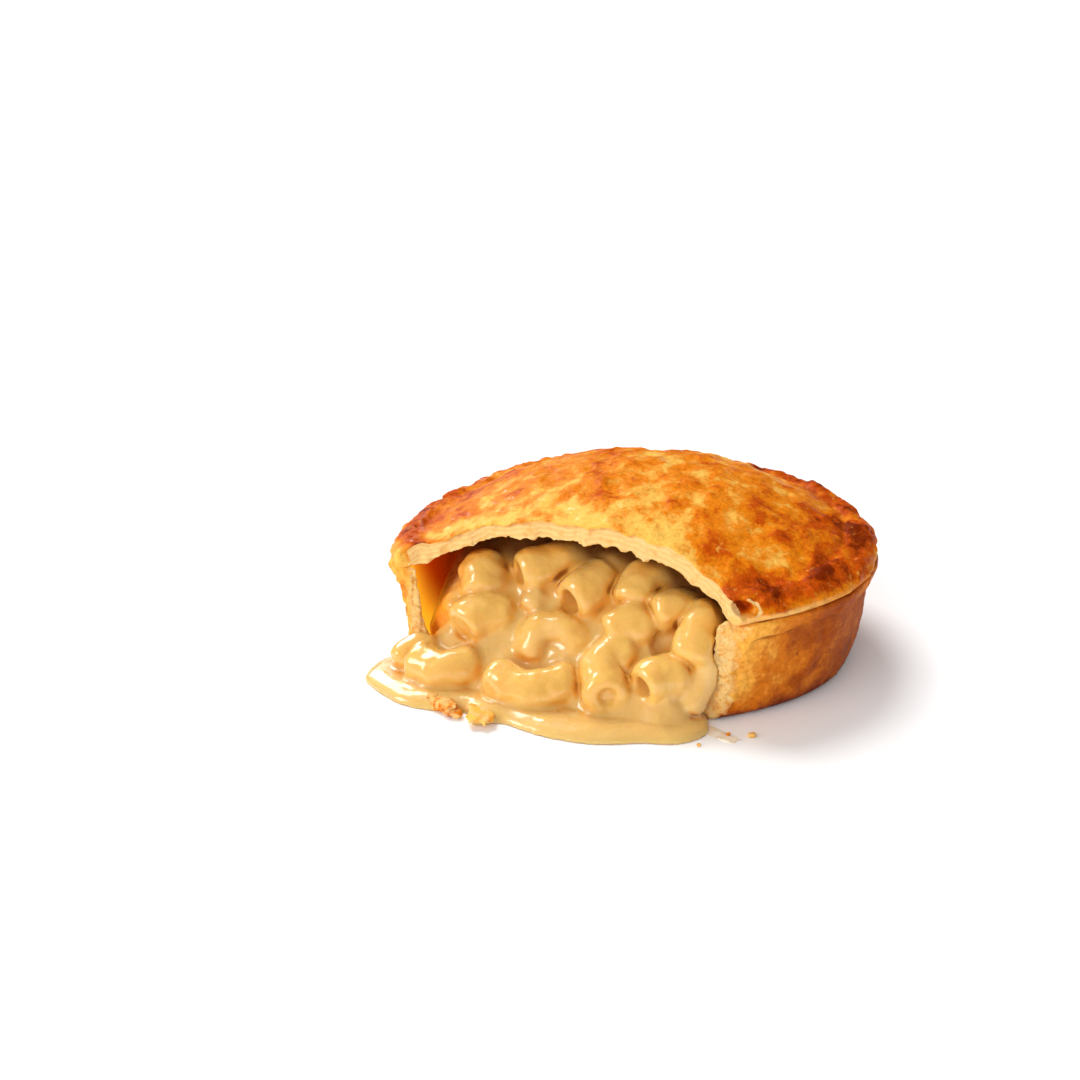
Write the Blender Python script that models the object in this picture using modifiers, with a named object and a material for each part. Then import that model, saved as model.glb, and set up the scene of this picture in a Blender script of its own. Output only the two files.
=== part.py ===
"""A round macaroni cheese pie with its front cut away, so that the filling has slid out on to the table.

Three solids: the pastry case, the pastry lid and the macaroni cheese. Metres, +Z up. The origin is the
middle of the pie's flat base, and the cut faces -Y.
"""

import math

import bmesh
import bpy
from mathutils import Vector, geometry, noise

# Driving sizes, in metres
DOME_HEIGHT = 0.0416
DOME_RADIUS = 0.0454
DOME_RISE = 0.0122
LID_THICKNESS = 0.0046
WALL_THICKNESS = 0.0046
FLOOR_THICKNESS = 0.0035
SEAM_HEIGHT = 0.0237
CASE_CUT_Y = -0.0359
LID_CUT_Y = -0.0273
LID_CUT_SCOOP = 0.0085
LID_CUT_MIDDLE_X = -0.003
LID_CUT_HALF_WIDTH = 0.042
POOL_THICKNESS = 0.0034
AIR_UNDER_LID = 0.0018
GAP = 0.0003
MM = 0.001

BORE_RADIUS = 0.0022
BORE_DEPTH = 0.0055
END_TAPER = 0.85
TURN_STEPS = 64
WELD = 2e-6
FAR = 0.12

# The pie is not quite round: (angle round it in degrees, width of the swelling, share of the radius)
SWELLINGS = [(-141, 36, 0.09), (165, 32, -0.04), (-46, 42, -0.042)]

# Each macaroni: points along its middle, radius at its first and its last end, in mm, and whether the first
# end shows its bore
MACARONI = [
    ([(-30, -23.5, 22.5), (-28, -27, 21), (-26, -31, 17)], 6.0, 5.0, False),
    ([(-19, -28, 23.5), (-14, -23.5, 24.5), (-6, -16, 26)], 5.1, 5.5, True),
    ([(-5.5, -31, 20), (-3, -27, 21), (0.5, -20, 23.5)], 5.7, 5.6, True),
    ([(8.3, -29, 20), (9.5, -22.5, 24.8), (18, -17, 24)], 4.9, 4.7, False),
    ([(-7, -16.5, 24.5), (1, -18.5, 26), (8.5, -16.5, 24)], 4.3, 4.3, False),
    ([(14, -31, 20.5), (18.5, -27.5, 21), (24, -23, 19.5)], 4.4, 4.4, False),
    ([(24.5, -37.5, 13.5), (25.5, -32, 18.5), (25.5, -25, 21.5)], 4.9, 4.9, False),
    ([(5, -34.5, 15.5), (9.3, -32, 18), (14.5, -31, 15.5)], 4.4, 4.2, False),
    ([(-28, -38.5, 12.5), (-26, -34.5, 14.3), (-19, -30.5, 14)], 5.4, 5.5, False),
    ([(-11.5, -38, 8), (-12, -35.2, 12), (-8.5, -33.3, 14.7), (-4, -33.5, 14), (0, -36, 10.5)], 3.6, 3.5, False),
    ([(-38, -43.5, 5.8), (-29.5, -45.6, 5), (-23, -41, 7)], 4.5, 4.3, False),
    ([(-41.5, -44.5, 3.8), (-39.5, -41, 6.5), (-34.5, -39, 7.3)], 3.2, 3.4, False),
    ([(-18.5, -45, 6), (-8.5, -46.8, 4.8), (1, -41.5, 7)], 4.7, 4.5, False),
    ([(9.8, -46.5, 6.6), (6.8, -41.5, 8.2), (8.5, -36, 11.8)], 5.3, 4.7, False),
    ([(16.5, -43.5, 9), (19, -39.5, 10), (24, -35.5, 10)], 4.9, 5.1, True),
    ([(-34.5, -32, 12), (-31, -26.5, 16.5)], 3.6, 3.6, False),
]

# The edge of the sauce on the table, in mm, closed inside the case
POOL_OUTLINE = [
    (-44, 0),
    (-46, -33),
    (-48.5, -37),
    (-49.5, -42),
    (-48.5, -47.5),
    (-45, -50.5),
    (-40, -53.5),
    (-35, -55.5),
    (-28, -55.5),
    (-20.5, -53.5),
    (-16.5, -58),
    (-11.5, -55),
    (-6, -56),
    (0, -57),
    (8, -56.5),
    (14, -54.5),
    (19.5, -51.5),
    (25.5, -49.5),
    (29, -46.5),
    (31, -42),
    (30, -37.5),
    (29, -33),
    (30, 0),
]


def start_scene(part_name):
    """An empty scene with one collection for the part and one, left out of renders, for cutters."""
    for obj in list(bpy.data.objects):
        bpy.data.objects.remove(obj, do_unlink=True)
    part = bpy.data.collections.new(part_name)
    cutters = bpy.data.collections.new("cutters")
    for collection in (part, cutters):
        bpy.context.scene.collection.children.link(collection)
    cutters.hide_render = True
    return part, cutters


def material(name, colour, roughness):
    """A Principled finish of one colour."""
    found = bpy.data.materials.new(name)
    found.use_nodes = True
    shader = found.node_tree.nodes["Principled BSDF"]
    shader.inputs["Base Color"].default_value = (*colour, 1.0)
    shader.inputs["Roughness"].default_value = roughness
    shader.inputs["Metallic"].default_value = 0.0
    return found


def add_object(name, data, collection):
    """An object for this mesh or curve, hidden from renders if it is a cutter."""
    obj = bpy.data.objects.new(name, data)
    collection.objects.link(obj)
    if collection.hide_render:
        obj.hide_render = True
        obj.display_type = "WIRE"
    return obj


def made_mesh(obj):
    """Replaces an object that has modifiers, or is a curve, by a plain mesh of welded triangles."""
    bpy.context.view_layer.update()
    evaluated = obj.evaluated_get(bpy.context.evaluated_depsgraph_get())
    mesh = bpy.data.meshes.new_from_object(evaluated)
    mesh.transform(obj.matrix_world)
    name, collection = obj.name, obj.users_collection[0]
    bpy.data.objects.remove(obj, do_unlink=True)
    work = bmesh.new()
    work.from_mesh(mesh)
    bmesh.ops.remove_doubles(work, verts=work.verts, dist=WELD)
    bmesh.ops.dissolve_degenerate(work, dist=WELD, edges=work.edges)
    bmesh.ops.triangulate(work, faces=work.faces)
    work.to_mesh(mesh)
    work.free()
    mesh.name = name
    return add_object(name, mesh, collection)


def boolean(obj, operation, operand=None, collection=None):
    """Joins, cuts or trims obj by an object or by all the objects of a collection, and applies it."""
    modifier = obj.modifiers.new(operation.lower(), "BOOLEAN")
    modifier.operation = operation
    modifier.solver = "EXACT"
    if collection:
        modifier.operand_type = "COLLECTION"
        modifier.collection = collection
    else:
        modifier.object = operand
    result = made_mesh(obj)
    used = list(collection.objects) if collection else [operand]
    for helper in used:
        bpy.data.objects.remove(helper, do_unlink=True)
    if collection:
        bpy.data.collections.remove(collection)
    return result


def turned(name, profile, collection, steps=TURN_STEPS):
    """A profile of (radius, height) points, top to bottom down its outer side, turned about Z."""
    mesh = bpy.data.meshes.new(name)
    mesh.from_pydata([(r, 0, z) for r, z in profile], [(i, i + 1) for i in range(len(profile) - 1)], [])
    obj = add_object(name, mesh, collection)
    screw = obj.modifiers.new("turn", "SCREW")
    screw.steps = screw.render_steps = steps
    screw.use_merge_vertices = True
    screw.merge_threshold = 1e-5
    return made_mesh(obj)


def slab(name, outline, low, high, collection):
    """A flat outline of (x, y) points between two heights."""
    curve = bpy.data.curves.new(name, "CURVE")
    curve.dimensions = "2D"
    curve.fill_mode = "BOTH"
    curve.extrude = (high - low) / 2
    spline = curve.splines.new("POLY")
    spline.points.add(len(outline) - 1)
    for point, (x, y) in zip(spline.points, outline):
        point.co = (x, y, 0, 1)
    spline.use_cyclic_u = True
    obj = add_object(name, curve, collection)
    obj.location.z = (high + low) / 2
    return made_mesh(obj)


def smooth_bump(angle, centre, width):
    """1 at centre, falling smoothly to 0 at width degrees to either side."""
    away = (angle - centre + 180) % 360 - 180
    return 0.5 + 0.5 * math.cos(math.pi * min(abs(away) / width, 1.0))


def spread(x, y):
    """How far the cut pie has opened or closed at this side, as a share of its radius."""
    angle = math.degrees(math.atan2(y, x))
    return 1 + sum(share * smooth_bump(angle, centre, width) for centre, width, share in SWELLINGS)


def reshape(obj, move=None):
    """Opens the plan of a turned mesh, then moves each vertex by the function move(position)."""
    for vertex in obj.data.vertices:
        place = vertex.co.copy()
        share = spread(place.x, place.y) if place.xy.length > 1e-6 else 1.0
        place.x *= share
        place.y *= share
        vertex.co = move(place) if move else place


def unevenness(place, size, seed):
    """Smooth noise from -1 to 1 at a scale of size metres."""
    return noise.noise(place / size + Vector((seed, seed, seed)))


# Pastry lid


def lid_top_height(radius):
    """The domed top up to the valley inside its raised rim."""
    return DOME_HEIGHT - DOME_RISE * (radius / DOME_RADIUS) ** 2.15


def lid_profile():
    """The lid's section: dome, valley, rim crest, flaky edge, lip on the case, and underside."""
    dome = [(DOME_RADIUS * k / 8, lid_top_height(DOME_RADIUS * k / 8)) for k in range(9)]
    rim = [
        (0.0474, 0.0291),
        (0.0496, 0.0289),
        (0.0516, 0.0280),
        (0.0530, 0.0269),
        (0.0528, 0.0260),
        (0.0538, 0.0254),
        (0.0536, 0.0245),
        (0.0526, SEAM_HEIGHT + GAP),
        (0.0476, SEAM_HEIGHT + GAP),
    ]
    under = [(r, z - LID_THICKNESS) for r, z in reversed(dome)]
    return dome + rim + under


def lid_relief(place):
    """Blisters and sags on the baked lid, none on the flat lip that sits on the case."""
    radius = place.xy.length
    inward = min(max((0.0475 - radius) / 0.004, 0.0), 1.0)
    above_lip = min(max((place.z - SEAM_HEIGHT - 0.0006) / 0.003, 0.0), 1.0)
    weight = max(inward, above_lip)
    lift = 0.00075 * unevenness(place, 0.013, 3.1) + 0.00035 * unevenness(place, 0.0055, 7.7)
    moved = place.copy()
    moved.z += weight * lift
    if radius > 0.047:
        bulge = 0.0009 * unevenness(place, 0.0075, 1.3) * weight
        moved.x *= 1 + bulge / radius
        moved.y *= 1 + bulge / radius
    return moved


def lid_cut(x):
    """Where the lid is cut at this x: scooped back in the middle, and torn in small waves."""
    away = abs(x - LID_CUT_MIDDLE_X) / LID_CUT_HALF_WIDTH
    tear = 0.0004 * math.sin(x / 0.0023) + 0.0003 * math.sin(x / 0.0011 + 1)
    return LID_CUT_Y - LID_CUT_SCOOP * away**3 + tear


def front_of_lid(name, inset, collection, steps=56):
    """Everything in front of the lid's cut, moved back into the lid by inset."""
    edge = [-0.06 + 0.12 * k / steps for k in range(steps + 1)]
    outline = [(x, lid_cut(x) + inset) for x in edge]
    return slab(name, outline + [(0.06, -FAR), (-0.06, -FAR)], -0.01, 0.08, collection)


def layer_split(name, depth, opening, collection):
    """The dark line between two pastry layers: a thin dome, depth below the lid's top."""
    radii = [DOME_RADIUS * k / 8 for k in range(9)]
    top = [(r, lid_top_height(r) - depth) for r in radii]
    under = [(r, z - opening) for r, z in reversed(top)]
    split = turned(name, top + under, collection)
    reshape(split)
    return split


def make_lid(part, cutters, finish):
    lid = turned("pastry_lid", lid_profile(), part)
    reshape(lid, lid_relief)
    lid = boolean(lid, "DIFFERENCE", front_of_lid("lid_front", 0, cutters))
    for depth, inset in ((0.0014, 0.0011), (0.0030, 0.0008)):
        split = layer_split("split", depth, 0.00045, cutters)
        split = boolean(split, "INTERSECT", front_of_lid("split_front", inset, cutters))
        lid = boolean(lid, "DIFFERENCE", split)
    lid.data.materials.append(finish)
    return lid


# Pastry case


def case_profile():
    """The case's section: floor, inner wall, rim, collar, leaning wall and rounded foot."""
    outside = [
        (0.0526, SEAM_HEIGHT),
        (0.0532, 0.0226),
        (0.0529, 0.0204),
        (0.0521, 0.0192),
        (0.0518, 0.0150),
        (0.0509, 0.0090),
        (0.0500, 0.0040),
        (0.0492, 0.0013),
        (0.0478, 0.0),
        (0.0, 0.0),
    ]
    return list(reversed(case_inside())) + outside


def case_inside(clearance=0.0):
    """The inside of the case from its rim down to the middle of its floor."""
    rim = 0.0532 - WALL_THICKNESS - clearance
    floor = FLOOR_THICKNESS + clearance
    return [
        (rim, SEAM_HEIGHT),
        (rim - 0.0012, 0.0120),
        (rim - 0.0026, floor + 0.0014),
        (rim - 0.0046, floor),
        (0.0, floor),
    ]


def case_relief(place):
    """A slightly lumpy outer wall, still flat underneath and plain inside."""
    radius = place.xy.length
    share = spread(place.x, place.y)
    outer = 1.0 if radius > 0.0488 * share and 0.001 < place.z < SEAM_HEIGHT - 0.0005 else 0.0
    bulge = outer * (0.0005 * unevenness(place, 0.011, 5.2) + 0.0003 * unevenness(place, 0.005, 9.4))
    moved = place.copy()
    moved.x *= 1 + bulge / max(radius, 0.001)
    moved.y *= 1 + bulge / max(radius, 0.001)
    return moved


def front_of_case(name, inset, low, collection, steps=40):
    """Everything above low in front of the case's cut, moved back into the case by inset."""
    edge = [-FAR + 2 * FAR * k / steps for k in range(steps + 1)]
    outline = [(x, CASE_CUT_Y + inset + 0.0004 * math.sin(x / 0.0037)) for x in edge]
    return slab(name, outline + [(FAR, -FAR), (-FAR, -FAR)], low, 0.08, collection)


def make_case(part, cutters, finish):
    case = turned("pastry_case", case_profile(), part)
    reshape(case, case_relief)
    case = boolean(case, "DIFFERENCE", front_of_case("case_front", 0, -0.01, cutters))
    case.data.materials.append(finish)
    return case


# Macaroni cheese

def pool_curve(steps=3):
    """A closed smooth curve through POOL_OUTLINE, in metres."""
    corners = [Vector(corner) * MM for corner in POOL_OUTLINE]
    curve = []
    for i, corner in enumerate(corners):
        before, after, beyond = (corners[(i + k) % len(corners)] for k in (-1, 1, 2))
        leaving, arriving = (after - before) / 6, (beyond - corner) / 6
        handles = (corner, corner + leaving, after - arriving, after, steps + 1)
        curve.extend(place.xy for place in geometry.interpolate_bezier(*handles)[:-1])
    return curve


def inside_distance(place, curve):
    """Distance in from the closed curve, negative outside it."""
    nearest = FAR
    crossings = 0
    for a, b in zip(curve, curve[1:] + curve[:1]):
        along = b - a
        t = min(max((place - a).dot(along) / max(along.length_squared, 1e-12), 0.0), 1.0)
        nearest = min(nearest, (place - a - along * t).length)
        if (a.y > place.y) != (b.y > place.y):
            crossings += place.x < a.x + along.x * (place.y - a.y) / along.y
    return nearest if crossings % 2 else -nearest


def heap_height(x, y):
    """The sauce's level: near the lid inside the pie, then sliding down to the pool on the table."""
    under_lid = lid_top_height(math.hypot(x, y)) - LID_THICKNESS - AIR_UNDER_LID
    slide = 0.0238 + 0.95 * (y + 0.024) - 18 * max(-0.028 - x, 0.0) ** 2
    slide += 0.0007 * unevenness(Vector((x, y, 0)), 0.008, 2.2)
    return max(min(under_lid, slide), POOL_THICKNESS)


def sauce_height(x, y, curve):
    """The heap inside the case, and in front of it the heap with the pool's rounded edge."""
    height = heap_height(x, y)
    if y > CASE_CUT_Y + 0.004:
        return height
    inward = inside_distance(Vector((x, y)), curve)
    if inward < 0:
        return max(1.4 * inward, -0.01)
    edge = POOL_THICKNESS * math.tanh(inward / 0.0021)
    return min(height, edge + 1.1 * max(inward - 0.004, 0.0))


def make_core(part):
    """The sauce: a block under a grid whose rows crowd towards the front, where it shows."""
    columns, rows = 50, 32
    bpy.ops.mesh.primitive_grid_add(x_subdivisions=columns, y_subdivisions=rows, size=1)
    core = bpy.context.object
    core.name = "macaroni_cheese"
    for collection in list(core.users_collection):
        collection.objects.unlink(core)
    part.objects.link(core)
    curve = pool_curve()
    for vertex in core.data.vertices:
        x = 0.110 * vertex.co.x - 0.002
        along = vertex.co.y + 0.5
        y = -0.060 + 0.050 * along + 0.060 * max(along - 0.6, 0.0) / 0.4
        vertex.co = (x, y, sauce_height(x, y, curve))
    work = bmesh.new()
    work.from_mesh(core.data)
    rim = bmesh.ops.extrude_face_region(work, geom=list(work.faces))
    for item in rim["geom"]:
        if isinstance(item, bmesh.types.BMVert):
            item.co.z = -0.02
    bmesh.ops.recalc_face_normals(work, faces=work.faces)
    bmesh.ops.triangulate(work, faces=work.faces)
    work.to_mesh(core.data)
    work.free()
    return core


def make_macaroni(name, points, first_radius, last_radius, collection):
    """A bent tube of pasta through these points, closed at its ends."""
    curve = bpy.data.curves.new(name, "CURVE")
    curve.dimensions = "3D"
    curve.resolution_u = 8 // (len(points) - 1)
    curve.bevel_depth = max(first_radius, last_radius) * MM
    curve.bevel_resolution = 3
    curve.use_fill_caps = True
    spline = curve.splines.new("BEZIER")
    spline.bezier_points.add(len(points) - 1)
    for number, (bezier_point, point) in enumerate(zip(spline.bezier_points, points)):
        along = number / (len(points) - 1)
        bezier_point.co = Vector(point) * MM
        bezier_point.radius = (first_radius + (last_radius - first_radius) * along) / max(first_radius, last_radius)
        bezier_point.handle_left_type = bezier_point.handle_right_type = "AUTO"
    for end in (spline.bezier_points[0], spline.bezier_points[-1]):
        end.radius *= END_TAPER
    return made_mesh(add_object(name, curve, collection))


def make_bore(name, points, collection):
    """The hollow that shows at the first of these points, narrowing inwards."""
    tip, following = (Vector(point) * MM for point in points[:2])
    bpy.ops.mesh.primitive_cone_add(
        vertices=10,
        radius1=1.2 * BORE_RADIUS,
        radius2=0.7 * BORE_RADIUS,
        depth=2 * BORE_DEPTH,
        location=tip,
    )
    bore = bpy.context.object
    bore.name = name
    bore.rotation_euler = (following - tip).to_track_quat("Z", "Y").to_euler()
    for found in list(bore.users_collection):
        found.objects.unlink(bore)
    collection.objects.link(bore)
    return made_mesh(bore)


def room_for_filling(cutters):
    """The space the filling may take: the inside of the case, and all of the table in front of its cut."""
    inside = case_inside(GAP)
    room = turned("room", [(0.0, 0.06), (inside[0][0], 0.06)] + inside, cutters)
    reshape(room)
    return boolean(room, "UNION", front_of_case("table_room", -GAP, 0, cutters))


def roof_over_filling(cutters):
    """The lid grown by GAP, which the filling keeps out of."""
    under = [(r, z - GAP) for r, z in lid_profile()[-10:]]
    roof = turned("roof", [(0.0, 0.07), (0.06, 0.07), (0.06, under[0][1])] + under, cutters)
    reshape(roof, lambda place: lid_relief(place) if place.z < 0.05 else place)
    return boolean(roof, "DIFFERENCE", front_of_lid("roof_front", -GAP, cutters))


def make_filling(part, cutters, finish):
    filling = make_core(part)
    pasta = bpy.data.collections.new("pasta")
    bores = bpy.data.collections.new("bores")
    for collection in (pasta, bores):
        collection.hide_render = True
        bpy.context.scene.collection.children.link(collection)
    for number, (points, first_radius, last_radius, open_end) in enumerate(MACARONI):
        make_macaroni(f"macaroni_{number}", points, first_radius, last_radius, pasta)
        if open_end:
            make_bore(f"bore_{number}", points, bores)
    filling = boolean(filling, "UNION", collection=pasta)
    filling = boolean(filling, "DIFFERENCE", collection=bores)
    filling = boolean(filling, "INTERSECT", room_for_filling(cutters))
    filling = boolean(filling, "DIFFERENCE", roof_over_filling(cutters))
    filling.data.materials.append(finish)
    return filling


def main():
    part, cutters = start_scene("macaroni_cheese_pie")
    baked = material("baked_pastry", (0.72, 0.33, 0.08), 0.45)
    case_finish = material("case_pastry", (0.74, 0.42, 0.14), 0.6)
    cheese = material("cheese_sauce", (0.83, 0.56, 0.22), 0.3)
    solids = [
        make_case(part, cutters, case_finish),
        make_lid(part, cutters, baked),
        make_filling(part, cutters, cheese),
    ]
    for solid in solids:
        solid.data.shade_smooth()
        solid.data.set_sharp_from_angle(angle=math.radians(40))


main()
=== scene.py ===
import math

import bpy
import numpy as np
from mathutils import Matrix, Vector


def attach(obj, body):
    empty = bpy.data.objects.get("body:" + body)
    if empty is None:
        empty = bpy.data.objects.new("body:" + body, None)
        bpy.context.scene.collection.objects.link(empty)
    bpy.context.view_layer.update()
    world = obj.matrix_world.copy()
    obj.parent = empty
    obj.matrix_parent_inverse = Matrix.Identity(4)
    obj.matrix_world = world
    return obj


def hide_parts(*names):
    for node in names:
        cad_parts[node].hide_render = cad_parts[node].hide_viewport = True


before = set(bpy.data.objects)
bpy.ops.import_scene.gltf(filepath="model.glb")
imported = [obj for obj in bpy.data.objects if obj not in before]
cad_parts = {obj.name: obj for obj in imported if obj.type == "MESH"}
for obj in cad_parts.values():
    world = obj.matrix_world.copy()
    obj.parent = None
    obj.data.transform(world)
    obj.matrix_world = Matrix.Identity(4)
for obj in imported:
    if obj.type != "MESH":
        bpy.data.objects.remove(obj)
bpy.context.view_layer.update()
meshWidth = 1.1

# Shapes here are worked out in mm, and scaled to metres when they are put into a mesh.

pie = {
    "domeHeight": 41.6,
    "domeRadius": 45.4,
    "domeRise": 12.2,
    "lidThickness": 4.6,
    "floorThickness": 3.5,
    "seamHeight": 23.7,
    "gap": 0.3,
    "caseCutY": -35.9,
    "swellings": [(-141, 36, 0.09), (165, 32, -0.04), (-46, 42, -0.042)],  # angle, width, share of radius
}


# Numbers over whole arrays

slopes = np.random.default_rng(7).normal(size=(64, 64, 64, 3))  # one at each corner of the noise's lattice
slopes /= np.linalg.norm(slopes, axis=-1, keepdims=True)


def softNoise(points, size, seed=0.0):
    # Smooth unevenness, about -1 to 1, at a scale of size: every lattice corner has a random slope, and the
    # eight round a point are blended by 6t^5 - 15t^4 + 10t^3.
    scaled = np.asarray(points, float) / size + seed * 9.37
    cell = np.floor(scaled).astype(int)
    part = scaled - cell
    fade = part**3 * (part * (part * 6 - 15) + 10)
    total = np.zeros(len(scaled))
    for step in np.ndindex(2, 2, 2):
        slope = slopes[tuple(((cell + step) % len(slopes)).T)]
        weight = np.where(step, fade, 1 - fade).prod(axis=1)
        total += weight * ((part - step) * slope).sum(axis=1)
    return total * 1.5


def gridNoise(x, y, z, size, seed=0.0):
    # softNoise at grids of x, y and z of one shape
    x, y, z = np.broadcast_arrays(x, y, z)
    return softNoise(np.stack([x.ravel(), y.ravel(), z.ravel()], 1), size, seed).reshape(x.shape)


def unevenness(x, y, z, noises):
    # noises added up, each given as (size, height, seed)
    return sum(height * gridNoise(x, y, z, size, seed) for size, height, seed in noises)


def ramp(value, low, high):
    # 0 below low, 1 above high, and 3t^2 - 2t^3 between them, where t is the share of the way
    t = np.clip((value - low) / (high - low), 0, 1)
    return t * t * (3 - 2 * t)


def smoothMin(a, b, width):
    # the lower of two distances, filleted: min(a, b) - h^2 width / 4, where h = max(1 - |a - b| / width, 0)
    h = np.maximum(1 - np.abs(a - b) / width, 0)
    return np.minimum(a, b) - h * h * width / 4


def smoothMax(a, b, width):
    # the higher of two distances, with a rounded edge
    return -smoothMin(-a, -b, width)


def axisStops(stops):
    # places along an axis whose spacing runs evenly between the spacings at the stops (place, spacing)
    fine = np.linspace(stops[0][0], stops[-1][0], 4001)
    spacing = np.interp(fine, [s[0] for s in stops], [s[1] * meshWidth for s in stops])
    count = np.concatenate([[0], np.cumsum(np.diff(fine) / (spacing[1:] + spacing[:-1]) * 2)])
    return np.interp(np.linspace(0, count[-1], math.ceil(count[-1]) + 1), count, fine)


def surfaceNet(field, carried, closedRound=False):
    # The surface where field passes from negative, inside, to positive. Each grid edge that crosses it has a
    # crossing, found by proportion. Each cell that it passes through has one point, the mean of its
    # crossings, and each crossed edge one face, between its four cells. carried are grids whose values are
    # averaged in the same way: x, y and z, then the attributes.
    if closedRound:
        field = np.concatenate([field, field[:1]])
        carried = [np.concatenate([grid, grid[:1]]) for grid in carried]
    cells = [size - 1 for size in field.shape]
    inside = field < 0
    rings, values = [], []
    for a in range(3):
        b, c = (a + 1) % 3, (a + 2) % 3
        low = np.moveaxis(inside, a, 0)[:-1]
        high = np.moveaxis(inside, a, 0)[1:]
        crossing = np.moveaxis(low != high, 0, a)
        if closedRound and a:
            crossing[-1] = False
        if closedRound:
            crossing[:, 0] = False
        start = np.argwhere(crossing)
        end = start.copy()
        end[:, a] += 1
        start, end = tuple(start.T), tuple(end.T)
        share = field[start] / (field[start] - field[end])
        values.append(np.stack([g[start] * (1 - share) + g[end] * share for g in carried], 1))
        ring = []
        for stepB, stepC in ((-1, -1), (0, -1), (0, 0), (-1, 0)):
            cell = list(start)
            cell[b] = cell[b] + stepB
            cell[c] = cell[c] + stepC
            if closedRound:
                cell[0] = cell[0] % cells[0]
            ring.append(np.ravel_multi_index(tuple(cell), cells))
        ring = np.stack(ring, 1)
        rings.append(np.where(inside[start][:, None], ring, ring[:, ::-1]))
    rings, values = np.concatenate(rings), np.concatenate(values)
    used, compact = np.unique(rings, return_inverse=True)
    faces = compact.reshape(-1, 4)
    hits = np.bincount(faces.ravel(), minlength=len(used))
    repeated = np.repeat(values, 4, axis=0)
    means = [np.bincount(faces.ravel(), repeated[:, k], len(used)) / hits for k in range(values.shape[1])]
    return np.stack(means, 1), faces


def relax(points, faces, rounds, share=0.5):
    # Smooths the net without shrinking it: every point goes part of the way to the mean of its neighbours
    # along the faces' edges, and then a little further back.
    pairs = np.concatenate([faces[:, [k, (k + 1) % 4]] for k in range(4)])
    pairs = np.concatenate([pairs, pairs[:, ::-1]])
    hits = np.bincount(pairs[:, 0], minlength=len(points))[:, None]
    for turn in range(2 * rounds):
        moves = points[pairs[:, 1]]
        near = np.stack([np.bincount(pairs[:, 0], moves[:, k], len(points)) for k in range(3)], 1)
        points = points + (near / hits - points) * (share if turn % 2 == 0 else -share * 1.04)
    return points


def largestShell(points, faces):
    # The one shell with the most points: every point takes the lowest number among its neighbours until
    # none changes.
    label = np.arange(len(points))
    pairs = np.concatenate([faces[:, [k, (k + 1) % 4]] for k in range(4)])
    while True:
        lowest = label.copy()
        np.minimum.at(lowest, pairs[:, 0], label[pairs[:, 1]])
        np.minimum.at(lowest, pairs[:, 1], label[pairs[:, 0]])
        lowest = lowest[lowest]
        if (lowest == label).all():
            break
        label = lowest
    kept = label == np.bincount(label).argmax()
    number = np.cumsum(kept) - 1
    return points[kept], number[faces[kept[faces[:, 0]]]]


def triangles(points, faces):
    # each four-sided face split along its shorter diagonal, without those that have closed up to a line
    first = np.linalg.norm(points[faces[:, 0], :3] - points[faces[:, 2], :3], axis=1)
    second = np.linalg.norm(points[faces[:, 1], :3] - points[faces[:, 3], :3], axis=1)
    turned = np.where((first <= second)[:, None], faces, np.roll(faces, 1, axis=1))
    split = np.concatenate([turned[:, [0, 1, 2]], turned[:, [0, 2, 3]]])
    return split[(split != np.roll(split, 1, axis=1)).all(axis=1)]


def addPiece(name, points, faces, material, nodes=(), slot=None, **attributes):
    # a mesh piece from points in mm and faces, with one float attribute for each named array
    faces = triangles(points, faces)
    mesh = bpy.data.meshes.new(name)
    mesh.vertices.add(len(points))
    mesh.vertices.foreach_set("co", np.ascontiguousarray(points[:, :3] * 0.001, np.float32).ravel())
    mesh.loops.add(faces.size)
    mesh.loops.foreach_set("vertex_index", faces.astype(np.int32).ravel())
    mesh.polygons.add(len(faces))
    mesh.polygons.foreach_set("loop_start", np.arange(0, faces.size, 3, dtype=np.int32))
    mesh.polygons.foreach_set("loop_total", np.full(len(faces), 3, np.int32))
    mesh.update(calc_edges=True)
    mesh.validate()
    for title, values in attributes.items():
        layer = mesh.attributes.new(title, "FLOAT", "POINT")
        layer.data.foreach_set("value", np.ascontiguousarray(values, np.float32))
    mesh.shade_smooth()
    mesh.materials.append(material)
    piece = bpy.data.objects.new(name, mesh)
    bpy.context.scene.collection.objects.link(piece)
    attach(piece, "root")
    if nodes:
        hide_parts(*nodes)
    print(f"{name}: {len(points)} points, {len(faces)} triangles")
    return piece


def pointNormals(points, faces):
    # the way out of the surface at each point: the mean of the faces round it, by their area
    corners = points[faces]
    normal = np.cross(corners[:, 2] - corners[:, 0], corners[:, 3] - corners[:, 1])
    hits = faces.ravel()
    total = np.stack([np.bincount(hits, np.repeat(normal[:, k], 4), len(points)) for k in range(3)], 1)
    return total / np.maximum(np.linalg.norm(total, axis=1, keepdims=True), 1e-9)


def readGrid(grid, axes, places):
    # a grid's value at places, by proportion along each of its axes
    low, part = [], []
    for axis, values in zip(axes, places.T):
        at = np.interp(values, axis, np.arange(len(axis)))
        low.append(np.minimum(at.astype(int), len(axis) - 2))
        part.append(at - low[-1])
    total = np.zeros(len(places))
    for step in np.ndindex(2, 2, 2):
        weight = np.prod([p if s else 1 - p for p, s in zip(part, step)], axis=0)
        total += weight * grid[tuple(k + s for k, s in zip(low, step))]
    return total


def shutIn(points, faces, room, axes, reaches):
    # How shut in the surface is, 0 to 1: 1 less the mean of room / reach at some reaches straight out of it.
    # room is a grid of distances from all that stands there.
    normal = pointNormals(points, faces)
    free = [np.clip(readGrid(room, axes, points + normal * reach) / reach, 0, 1) for reach in reaches]
    return 1 - np.mean(free, axis=0)


# The pie's own sections


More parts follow.
